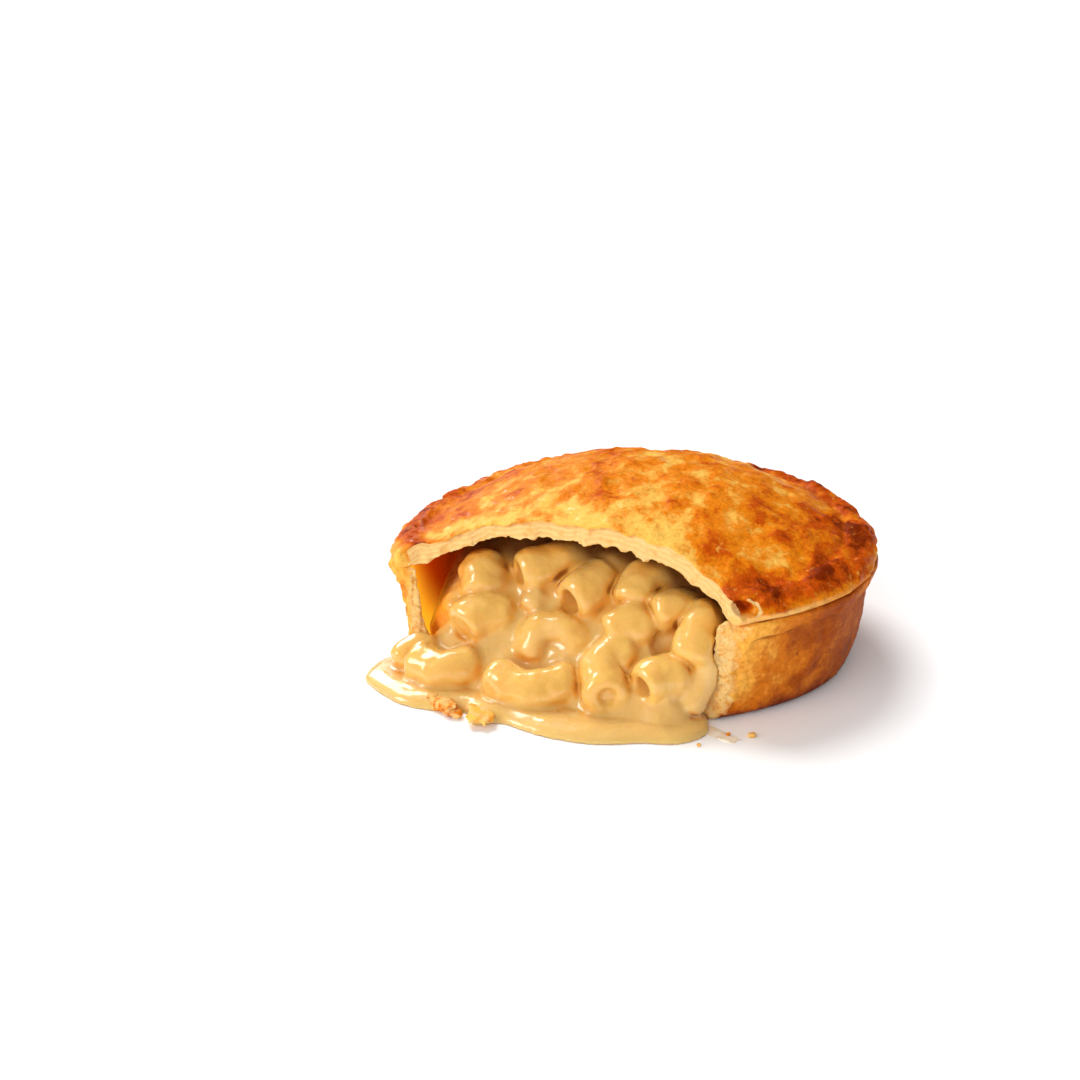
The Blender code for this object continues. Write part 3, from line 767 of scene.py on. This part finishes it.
def makeCase():
    # The case's section on a grid of angle, radius and height. Its relief shifts the radius of the wall, and
    # the cut is made as on the lid.
    columns = int(case["columns"] / meshWidth)
    angle = (np.arange(columns) / columns * 2 * np.pi)[:, None, None]
    fine = case["spacing"]
    outer = axisStops([(2.5, 3.0), (40, 2.4), (46, fine), (55.4, fine)])
    radius = np.concatenate([[0, 0], outer])[None, :, None]
    z = axisStops([(-0.9, fine), (18, fine), (25.2, 0.8 * fine)])[None, None, :]
    angle, radius, z = np.broadcast_arrays(angle, radius, z)
    share = spread(np.cos(angle[:, 0, 0]), np.sin(angle[:, 0, 0]))[:, None, None]
    x, y = radius * share * np.cos(angle), radius * share * np.sin(angle)

    wallX, wallY, wallZ = 51 * np.cos(angle[:, 0]), 51 * np.sin(angle[:, 0]), z[:, 0]
    wall = (wallX, wallY, wallZ)
    relief = unevenness(*wall, case["relief"])
    relief -= case["pits"] * ramp(gridNoise(*wall, 3.1, 7.9), 0.35, 0.7)
    relief += ramp(wallZ, 3.5, 0.8) * unevenness(*wall, case["footRelief"])
    behind = wallY - pie["caseCutY"]
    tornLeft = (1.5 - 0.6 * ramp(wallZ, 19, 22)) * ramp(behind, 17, 6)
    relief += np.where(wallX < 0, tornLeft, ramp(behind, 8, 1)) * unevenness(*wall, case["tornRelief"])
    line = np.exp(-(((wallZ - seamHeight(wallX, wallY)) / 0.45) ** 2))
    relief -= case["seamDepth"] * line * ramp(gridNoise(*wall, 6, 5.5), -0.3, 0.3)
    relief *= ramp(wallZ, -0.1, 0.9) * (1 - 0.6 * ramp(wallZ, 22.6, 23.6))
    section = sectionDistance(caseOutline(), 0.22)
    outward = ramp(radius, 48.6, 50.2)
    thin = case["thinner"] * ramp(-x, 20, 38) * ramp(-y, 4, 24) * ramp(z, 4, 9)
    body = section(radius - relief[:, None, :] * outward - thin * (1 - ramp(radius, 49.4, 51)), z) * share
    seam = np.exp(-(((radius - 52.6) / 0.9) ** 2 + ((z - 23.9) / 0.7) ** 2))
    body -= case["beads"] * seam * ramp(gridNoise(wallX, wallY, 0, 2.4, 4.2), -0.1, 0.5)[:, None, :]

    cut = caseCut(x) - y
    close = (np.abs(cut) < 3.4) & (body < 1.8) & (radius > 40)
    spots = np.stack([x[close], y[close], z[close]], 1)
    skin = 52.5 - radius[close]
    out = unevenness(*spots.T, case["cutRelief"])
    out += 0.2 * np.sin(2 * np.pi * skin / 1.3 + 3 * softNoise(spots * (0, 0, 1), 8, 2.2))
    cut[close] -= out * (1 + 0.6 * (x[close] < 0))
    field = smoothMax(body, cut, 0.6 + 3.0 * ramp(radius, 49.6, 51.6))

    points, faces = surfaceNet(field, [x, y, z, cut - body, radius], closedRound=True)
    points, faces = mergeAxis(points, faces)
    points, faces = largestShell(points, faces)
    points[:, :3] = relax(points[:, :3], faces, 1, 0.4)
    px, py, pz, onCut, ring = points.T
    points[:, 2] = np.where(pz < 0.12, 0.0, pz)
    spots = points[:, :3]
    behind = py - caseCut(px)
    innerWall = np.interp(pz, [3.5, 12, 23.7], [45.5, 47.4, 48.6]) + case["thinner"] * ramp(-px, 20, 38)
    inner = ramp(ring - innerWall, 1.0, 0.5) * ramp(pz, 2.0, 3.0) * ramp(onCut, -0.2, -1.2)
    isCut = ramp(onCut, -2.6, 0.2) * ramp(behind, 6.0, 1.0)
    isCut *= 1 - ramp(ring, 50.4, 51.8) * (0.4 + 0.5 * (px < 0))
    baked = 0.57 + unevenness(px, py, pz, case["bakedPatches"])
    # browner at the foot; darker towards the right side, which is painted shade
    baked += 0.40 * ramp(pz, 3.0, 0.2) + 0.2 * ramp(px, 36, 52)
    baked -= (0.52 * ramp(pz, 0.5, 6.0) + 0.14 * (px < 0)) * np.exp(-np.maximum(behind, 0) / 9)
    baked -= 0.10 * ramp(pz, 18.5, 21.5)
    crack = 0.7 * ramp(pz, 23.2, 23.7) * ramp(ring, 53.3, 52.8) * (ring > 50) * ramp(behind, 1, 6)
    line = np.exp(-(((pz - seamHeight(px, py)) / 0.3) ** 2)) * (ring > 50) * (behind > 2)
    crack = np.maximum(crack, 0.7 * line * ramp(softNoise(spots, 6, 5.5), -0.2, 0.4))
    return addPiece(
        "crustCase", points, faces, caseMaterial(), ["pastry_case"], "case_pastry",
        baked=np.clip(baked, 0, 1), cut=isCut * (1 - inner), inner=inner,
        # deep carries the painted shade further into the case, and glow the painted glow on the inside wall
        deep=ramp(behind + 0.6 * (pz - 10), 8, 26), crack=crack,
        glow=inner * ramp(-px, 8, 24) * ramp(behind, 40, 12),
    )


def mergeAxis(points, faces):
    # The points on the axis become two, one on the floor and one under it, and the faces between them go.
    onAxis = np.hypot(points[:, 0], points[:, 1]) < 1e-6
    upper = points[:, 2] > pie["floorThickness"] / 2
    number = np.arange(len(points))
    for group in (onAxis & upper, onAxis & ~upper):
        number[group] = np.flatnonzero(group)[:1]
    return points, number[faces]


# Macaroni cheese

filling = {
    "poolThickness": 2.6,
    "poolEdge": 4.5,  # how far in from its edge the pool reaches its thickness
    "airUnderLid": 1.8,
    "sauceLevel": 24.4,  # height of the slide at slideFrom
    "slideFrom": -24,
    "slope": 0.95,
    "fillet": 1.8,
    "pastaJoin": 1.1,
    # unevenness as (size, height, seed)
    "slideWaves": [(7, 0.9, 2.2), (3.2, 0.4, 4.4)],
    "poolWaves": [(7, 0.4, 5.3), (3.4, 0.25, 1.6)],
    "pastaLumps": [(4.2, 0.42), (1.9, 0.14)],  # size and height
    "skinPlace": (25.5, -37.0, 2.6),  # x, y and width of the dried skin at the foot of the case
    "spacing": 0.4,
    "hiddenSpacing": 2.2,
    "sauce": [(239, 195, 118), (229, 180, 101)],
    "coated": [(241, 194, 106), (231, 177, 88)],  # where the sauce is thin over a macaroni
    # painted shade: orange in the hollows, dark brown in the narrowest crevices
    "hollow": (230, 154, 50),
    "creviceShade": (150, 76, 12),
    # painted shade, dark brown, on the sauce behind the lid's cut, where the lid shades it
    "behind": (80, 28, 2),
    "dried": (252, 242, 222),
    "specks": (176, 108, 40),
}


def sauceMaterial():
    # glossy cheese sauce, a little yellower where it is thin over a macaroni, with painted shade: orange in
    # the hollows, dark in the crevices and brown behind the lid's cut
    material, tree, shader, place = startMaterial("cheese sauce", {
        "Specular IOR Level": 0.35, "IOR": 1.45, "Coat Roughness": 0.11, "Subsurface Weight": 0.5,
        "Subsurface Radius": (0.0035, 0.002, 0.0006), "Subsurface Scale": 1.0})
    sauce = mixed(tree, noised(tree, place, 9.0, 3.0), *filling["sauce"])
    coated = mixed(tree, noised(tree, place, 5.0, 3.0), *filling["coated"])
    colour = mixed(tree, stretched(tree, attributeOf(tree, "pasta"), 0.15, 0.95), sauce, coated)
    # painted shade: by how shut in the surface is, orange in the hollows and dark brown in the crevices
    hollow = attributeOf(tree, "hollow")
    colour = mixed(tree, stretched(tree, hollow, 0.26, 0.76, 0.0, 0.72), colour, filling["hollow"])
    colour = mixed(tree, stretched(tree, hollow, 0.72, 1.0, 0.0, 0.9), colour, filling["creviceShade"])
    # painted shade, brown, behind the lid's cut, then the real dried skin at the case's foot
    for title in ("behind", "dried"):
        colour = mixed(tree, attributeOf(tree, title), colour, filling[title])
    few = times(tree, stretched(tree, noised(tree, place, 3.0, 2.0), 0.5, 0.62), 0.5)
    colour = speckled(tree, place, colour, 1.6, 0.09, few, filling["specks"])
    rough = stretched(tree, noised(tree, place, 2.5, 3.0), 0.3, 0.7, 0.22, 0.38)
    shine = stretched(tree, noised(tree, place, 5.0, 3.0), 0.36, 0.50, 0.3, 0.95)
    waves = noised(tree, place, 2.6, 3.0, 0.5)
    fed(tree, shader, waves, 0.28, {"Base Color": colour, "Roughness": rough, "Coat Weight": shine})
    return material


# each macaroni: points along its middle, radius at its first and its last end, and the depth and the radius
# of the bore that shows at its first end
macaroni = [
    ([(-30, -23.5, 22.5), (-28, -27, 21), (-26, -31, 17)], 6.0, 5.0, 0, 0),
    ([(-19, -28, 23.5), (-14, -23.5, 24.5), (-6, -16, 26)], 5.1, 5.5, 5.5, 2.3),
    ([(-5.5, -31, 20), (-3, -27, 21), (0.5, -20, 23.5)], 5.7, 5.6, 5.5, 2.7),
    ([(8.3, -29, 20), (9.5, -22.5, 24.8), (18, -17, 24)], 4.9, 4.7, 0, 0),
    ([(-7, -16.5, 24.5), (1, -18.5, 26), (8.5, -16.5, 24)], 4.3, 4.3, 0, 0),
    ([(14, -31, 20.5), (18.5, -27.5, 21), (24, -23, 19.5)], 4.4, 4.4, 0, 0),
    ([(24.5, -37.5, 13.5), (25.5, -32, 18.5), (25.5, -25, 21.5)], 4.9, 4.9, 0, 0),
    ([(5, -34.5, 15.5), (9.3, -32, 18), (14.5, -31, 15.5)], 4.4, 4.2, 0, 0),
    ([(-28, -38.5, 12.5), (-26, -34.5, 14.3), (-19, -30.5, 14)], 5.4, 5.5, 0.25, 2.8),
    ([(-11.5, -38.5, 8.5), (-12, -35, 13), (-8.5, -33.5, 14.5), (-4, -33.5, 14), (0, -36, 10.5)],
     3.6, 3.5, 0, 0),
    ([(-38, -43.5, 5.8), (-29.5, -45.6, 5), (-23, -41, 7)], 4.5, 4.3, 0, 0),
    ([(-41.5, -44.5, 3.8), (-39.5, -41, 6.5), (-34.5, -39, 7.3)], 3.2, 3.4, 0, 0),
    ([(-18.5, -45, 6), (-8.5, -46.8, 4.8), (1, -41.5, 7)], 4.7, 4.5, 0, 0),
    ([(10, -46.5, 6.6), (8, -43, 6.6), (6, -40, 9), (7, -36.5, 11.5), (12.5, -35, 12)], 5.4, 4.5, 1.1, 2.0),
    ([(16.5, -43.5, 9), (19, -39.5, 10), (24, -35.5, 10)], 4.9, 5.1, 5.5, 2.2),
    ([(-34.5, -32, 12), (-31, -26.5, 16.5)], 3.6, 3.6, 0, 0),
]

# thick sauce above its level, as points along its middle and radius: a ridge inside the arch of the tenth
# macaroni, what fills the arch, a fold under the second, one under the first, and one beside the case's cut
saucedFolds = [
    ([(-10.5, -40, 9), (-10.5, -37.9, 12.5), (-9, -36.4, 14.2), (-6, -35.2, 15.2), (-2.5, -34.5, 14.5)],
     2.2),
    ([(-8, -35.3, 8.6), (-1, -35.3, 9.2)], 3.9),
    ([(-15, -32, 16.5), (-13.5, -27.5, 19.5)], 3.0),
    ([(-29.5, -30, 17.5), (-27.5, -32, 14.5)], 3.3),
    ([(29, -34.5, 14), (27.5, -36, 9), (25.5, -39.5, 3)], 3.0),
]

# the edge of the sauce on the table, closed inside the case
poolOutline = [
    (-44, 0), (-46, -33), (-48.5, -37), (-49.5, -42), (-48.5, -47.5), (-45, -50.5), (-40, -53.5),
    (-35, -55.5), (-28, -55.5), (-20.5, -53.5), (-16.5, -58), (-11.5, -55), (-6, -56), (0, -57), (8, -56.5),
    (14, -54.5), (19.5, -51.5), (25.5, -49.5), (29, -46.5), (31, -42), (30, -37.5), (29, -33), (30, 0),
]


def smoothPath(corners, steps, closed=False):
    # A curve through the corners: between two of them, the cubic whose ends follow the line between each
    # one's neighbours
    corners = np.array(corners, float)
    if closed:
        corners = np.concatenate([corners[-1:], corners, corners[:2]])
    else:
        before, after = 2 * corners[:1] - corners[1:2], 2 * corners[-1:] - corners[-2:-1]
        corners = np.concatenate([before, corners, after])
    t = (np.arange(steps) / steps)[None, :, None]
    a, b, c, d = (corners[k : len(corners) - 3 + k][:, None, :] for k in range(4))
    path = b + 0.5 * t * (c - a + t * (2 * a - 5 * b + 4 * c - d + t * (3 * (b - c) + d - a)))
    path = path.reshape(-1, corners.shape[1])
    return path if closed else np.concatenate([path, corners[-2:-1]])


def poolDistance(x, y):
    # distance in from the edge of the pool, negative outside it
    curve = smoothPath(poolOutline, 4, closed=True)
    return -outlineDistance(x, y, np.concatenate([curve, curve[:1]]))


def sauceHeight(x, y):
    # The sauce's level: near the lid inside the pie, then a slide down to the pool, whose edge is a quarter
    # of an ellipse.
    underLid = domeTop(np.hypot(x, y)) - pie["lidThickness"] - filling["airUnderLid"]
    slide = filling["sauceLevel"] + filling["slope"] * (y - filling["slideFrom"])
    slide += unevenness(x, y, 0, filling["slideWaves"]) - 0.10 * np.maximum(-30 - x, 0) ** 2
    height = np.maximum(np.minimum(underLid, slide), filling["poolThickness"])
    inward = poolDistance(x, y)
    edge = filling["poolThickness"] * np.sqrt(1 - (1 - np.clip(inward / filling["poolEdge"], 0, 1)) ** 2)
    edge += 1.1 * np.maximum(inward - 4, 0) + unevenness(x, y, 0, filling["poolWaves"]) * ramp(inward, 1, 5)
    edge = np.where(inward < 0, 1.4 * inward, edge)
    front = ramp(y, pie["caseCutY"] + 6, pie["caseCutY"] + 3)
    return height * (1 - front) + np.minimum(height, edge) * front


def tubeField(spots, points, firstRadius, lastRadius, openDepth=0, boreRadius=0):
    # Distance from a bent tube and from its bore. The nearest place on its middle line, drawn out past both
    # ends, gives how far along and how far out a spot is, and these the distance from a rounded cylinder.
    path, beyond = smoothPath(points, 10), 8
    first, last = path[0] - path[1], path[-1] - path[-2]
    before = path[0] + first / np.linalg.norm(first) * beyond
    path = np.concatenate([[before], path, [path[-1] + last / np.linalg.norm(last) * beyond]])
    lengths = np.linalg.norm(np.diff(path, axis=0), axis=1)
    starts = np.concatenate([[0], np.cumsum(lengths)]) - beyond
    total = starts[-1] - beyond
    out = np.full(len(spots), 1e9)
    along = np.zeros(len(spots))
    for start, tip, length, begun in zip(path, path[1:], lengths, starts):
        way = (tip - start) / length
        t = np.clip((spots - start) @ way, 0, length)
        away = np.linalg.norm(spots - start - t[:, None] * way, axis=1)
        nearer = away < out
        out = np.where(nearer, away, out)
        along = np.where(nearer, begun + t, along)
    radius = firstRadius + (lastRadius - firstRadius) * np.clip(along / total, 0, 1)
    beyond = np.maximum(-along, along - total)
    taper = 1 - 0.12 * ramp(beyond, -3.0, 0.5)
    wall = radius - boreRadius if openDepth else radius
    rounding = np.where(along < total / 2, 0.45 * wall, 0.5 * radius)
    (wide, high), (narrow, low) = filling["pastaLumps"]
    lumps = high * softNoise(spots, wide, firstRadius * 3) + low * softNoise(spots, narrow, firstRadius)
    a, b = beyond + rounding, out - radius * taper + rounding - lumps
    solid = np.hypot(np.maximum(a, 0), np.maximum(b, 0)) + np.minimum(np.maximum(a, b), 0) - rounding
    bore = np.full(len(spots), 9.0)
    if openDepth:
        bore = smoothMax(out - boreRadius, np.maximum(along - openDepth, -along - 1.2), 1.2)
    return solid, bore


def makeFilling():
    # Sauce, macaroni and the room they may take are distances on one grid. Macaroni and sauce join with a
    # fillet, the bores are cut out of both, and all of it is kept inside the case, off the lid and above
    # the table.
    wide, fine = filling["hiddenSpacing"], filling["spacing"]
    x = axisStops([(-51.5, fine), (34, fine), (38, wide), (52.5, wide)])[:, None, None]
    y = axisStops([(-59.6, fine), (-13, fine), (-6, wide), (50.5, wide)])[None, :, None]
    z = axisStops([(-1.2, fine), (29.5, fine), (38.5, 1.0)])[None, None, :]
    axes = (x[:, 0, 0], y[0, :, 0], z[0, 0, :])
    x, y, z = np.broadcast_arrays(x, y, z)
    level = sauceHeight(x[:, :, 0], y[:, :, 0])
    steepX = np.gradient(level, axes[0], axis=0)
    steepY = np.gradient(level, axes[1], axis=1)
    steep = np.sqrt(1 + np.minimum(steepX**2 + steepY**2, 9))
    field = (z - level[:, :, None]) / steep[:, :, None]
    pasta = np.full(field.shape, 9.0)
    bores = np.full(field.shape, 9.0)
    folds = [(points, radius, radius) for points, radius in saucedFolds]
    for number, shape in enumerate(folds + macaroni):
        corners = np.array(shape[0], float)
        reach = max(shape[1:3]) + 3.5
        low, high = corners.min(0) - reach, corners.max(0) + reach
        box = tuple(slice(*np.searchsorted(axis, (low[k], high[k]))) for k, axis in enumerate(axes))
        spots = np.stack([x[box].ravel(), y[box].ravel(), z[box].ravel()], 1)
        solid, bore = (part.reshape(x[box].shape) for part in tubeField(spots, *shape))
        if number < len(folds):
            field[box] = smoothMin(field[box], solid, 1.0)
        else:
            pasta[box] = smoothMin(pasta[box], solid, filling["pastaJoin"])
            bores[box] = np.minimum(bores[box], bore)
    field = smoothMin(field, pasta, filling["fillet"])
    field = smoothMax(field, -bores, 0.8)

    share = spread(x[:, :, 0], y[:, :, 0])[:, :, None]
    radius = np.hypot(x, y) / share
    inside = sectionDistance(caseInside() + [(48.7, 60), (0, 60)], 0.2)
    room = inside(radius, z) * share - 0.12
    table = y - caseCut(x)
    roof = sectionDistance([(0, 70), (60, 70), (60, 24)] + lidOutline()[32:], 0.2)
    over = np.maximum(roof(radius, z) * share, lidCut(x) - y)
    free = np.minimum(np.minimum(field, over), np.maximum(-room, -table))
    field = smoothMax(field, np.minimum(room, np.maximum(table, -z)), 0.4)
    field = smoothMax(field, -over, 0.3)

    points, faces = surfaceNet(field, [x, y, z, pasta, bores])
    points, faces = largestShell(points, faces)
    points[:, :3] = relax(points[:, :3], faces, 2, 0.5)
    points[:, 2] = np.where(points[:, 2] < 0.15, 0, points[:, 2])
    px, py, pz, toPasta, _ = points.T
    shown = 1 - ramp(toPasta, 0.0, 1.1)
    # how shut in each point is, and more so behind the lid's cut: it drives the painted shade in the hollows
    hollow = shutIn(points[:, :3], faces, free, axes, (1.0, 2.2, 4.0))
    hollow = np.clip(hollow + 0.22 * ramp(py - lidCut(px), -9, 0), 0, 1)
    skinX, skinY, width = filling["skinPlace"]
    skin = 0.8 * np.exp(-((px - skinX) ** 2 + (py - skinY) ** 2) / width**2) * (pz < 5)
    # painted shade behind the lid's cut, where the lid shades the sauce
    behind = 0.9 * ramp(py - lidCut(px) + 2.4 * ramp(px, 12, 20), 2.0, 6.5)
    return addPiece(
        "macaroniCheese", points, faces, sauceMaterial(), ["macaroni_cheese"], "cheese_sauce",
        pasta=shown, hollow=hollow, behind=behind, dried=skin,
    )


# Crumbs round the pie

# loose bits as (middle, half sizes, degrees turned, how baked): a brown crumb of three lumps at the pool's
# edge, small crumbs on the table, and a pale flake on the pool's front
looseBits = [
    ((-25.4, -54.2, 1.4), (4.2, 1.7, 1.5), -28, 0.36),
    ((-21.6, -56.0, 0.9), (1.6, 1.2, 0.9), 10, 0.45),
    ((-29.2, -52.4, 1.3), (1.7, 1.3, 1.2), 40, 0.3),
    ((40.0, -39.2, 0.5), (0.9, 0.7, 0.5), 20, 0.2),
    ((35.2, -40.6, 0.35), (0.6, 0.45, 0.35), 70, 0.2),
    ((31.0, -47.5, 0.3), (0.5, 0.4, 0.3), 5, 0.25),
    ((-16.0, -54.9, 1.8), (5.0, 2.9, 0.5), -62, 0.0),
]


def lumpNet(middle, size, turned, noisy):
    # a rounded block: the cube root of |x/a|^3 + |y/b|^3 + |z/c|^3, less 1 and less some noise, times its
    # smallest half size
    axes = [np.arange(-2.0 * s, 2.1 * s, max(0.16, min(s, 1.4) / 5) * meshWidth) for s in size]
    x, y, z = np.meshgrid(*axes, indexing="ij")
    places = gridNoise(x + middle[0], y + middle[1], z * 2, 0.9, 3.7)
    wide = gridNoise(x + middle[0], y + middle[1], z, 2.1, 1.3)
    ball = (abs(x / size[0]) ** 3 + abs(y / size[1]) ** 3 + abs(z / size[2]) ** 3) ** (1 / 3) - 1
    field = ball * min(size) - noisy * min(size) * (0.5 * places + wide)
    points, faces = largestShell(*surfaceNet(field, [x, y, z]))
    across, up = math.cos(math.radians(turned)), math.sin(math.radians(turned))
    px, py, pz = points.T
    moved = np.stack([px * across - py * up, px * up + py * across, pz], 1) + middle
    moved[:, 2] = np.maximum(moved[:, 2], 0.0)
    return moved, faces


def makeLooseBits():
    # all loose bits in one mesh, in the lid's finish
    lumps, nets, baked, begun = [], [], [], 0
    for middle, size, turned, share in looseBits:
        lump, net = lumpNet(middle, size, turned, 0.3)
        lumps.append(lump)
        nets.append(net + begun)
        baked.append(np.clip(share + 0.3 * softNoise(lump, 1.6, 2.8), 0, 1))
        begun += len(lump)
    finish = bpy.data.materials["egg washed pastry"]
    addPiece("looseCrumbs", np.concatenate(lumps), np.concatenate(nets), finish, (), "baked_pastry",
             baked=np.concatenate(baked), cut=np.full(begun, 0.45))


def makeSmear():
    # a thin film of sauce wiped over the table beside the case
    points, faces = lumpNet((33.6, -41.2, 0.0), (5.0, 1.5, 0.22), -22, 0.5)
    film, tree, shader, place = startMaterial("dried sauce film", {"Roughness": 0.45})
    streaks = stretched(tree, noised(tree, place, 2.0, 3.0), 0.4, 0.6)
    colour = mixed(tree, streaks, (255, 246, 228), (244, 226, 196))
    tree.links.new(colour, shader.inputs["Base Color"])
    addPiece("tableSmear", points, faces, film, (), "cheese_sauce")


# Camera, light and floor

studio = {
    "cameraPlace": (0.1395, -0.3806, 0.1850),
    "cameraLooks": (-0.3706, 0.8523, -0.3690),
    "lens": 62.28,
    "floorTone": 0.95,
    "floorReach": 6.0,
    "floorDrop": 0.00003,
    "roomLight": 0.44,
    # wide even light, as (name, heading, degrees across, power)
    "suns": [
        ("window", (0.47, -0.38, -0.79), 32, 2.4),
        ("front fill", (0.28, 0.91, -0.28), 70, 2.25),
    ],
    # panels that are only seen in highlights, as (name, place, aim, size, power)
    "panels": [
        ("softbox", (-0.43, 0.22, 0.40), (0, -0.03, 0.02), (0.30, 0.40), 4.4),
        ("front card", (-0.42, -0.30, 0.26), (0, -0.03, 0.015), (0.20, 0.24), 1.6),
        ("side card", (-0.43, 0.48, 0.25), (-0.02, -0.04, 0.01), (0.25, 0.16), 0.25),
    ],
}


def standing(name, data, place, heading):
    # a light or camera at a place, its face to a heading
    thing = bpy.data.objects.new(name, data)
    thing.location = place
    thing.rotation_euler = Vector(heading).to_track_quat("-Z", "Y").to_euler()
    bpy.context.scene.collection.objects.link(thing)
    return thing


def makeCamera():
    camera = bpy.data.cameras.new("camera")
    camera.lens = studio["lens"]
    camera.sensor_width = 36
    bpy.context.scene.camera = standing("camera", camera, studio["cameraPlace"], studio["cameraLooks"])


def makeLights():
    for name, heading, across, power in studio["suns"]:
        light = bpy.data.lights.new(name, "SUN")
        light.energy, light.angle = power, math.radians(across)
        standing(name, light, (0, 0, 0), heading).visible_glossy = False
    for name, place, aim, size, power in studio["panels"]:
        light = bpy.data.lights.new(name, "AREA")
        light.energy, light.shape = power, "RECTANGLE"
        light.size, light.size_y = size
        standing(name, light, place, Vector(aim) - Vector(place)).visible_diffuse = False
    world = bpy.data.worlds.new("studio")
    world.use_nodes = True
    room = world.node_tree.nodes["Background"].inputs
    room["Color"].default_value = (1, 1, 1, 1)
    room["Strength"].default_value = studio["roomLight"]
    world.cycles_visibility.glossy = False
    bpy.context.scene.world = world
    bpy.context.scene.view_settings.view_transform = "Standard"


def makeFloor():
    mesh = bpy.data.meshes.new("floor")
    reach, height = studio["floorReach"], -studio["floorDrop"]
    corners = [(x * reach, y * reach, height) for x, y in ((-1, -1), (1, -1), (1, 1), (-1, 1))]
    mesh.from_pydata(corners, [], [(0, 1, 2, 3)])
    floor = bpy.data.objects.new("floor", mesh)
    bpy.context.scene.collection.objects.link(floor)
    tone = (studio["floorTone"],) * 3 + (1,)
    mesh.materials.append(startMaterial("pale floor", {
        "Base Color": tone, "Roughness": 0.6, "Specular IOR Level": 0.2, "Emission Color": (1, 1, 1, 1),
        "Emission Strength": 0.05})[0])


makeCamera()
makeLights()
makeFloor()
print("studio ready")
makeLid()
makeCase()
makeFilling()
makeLooseBits()
makeSmear()
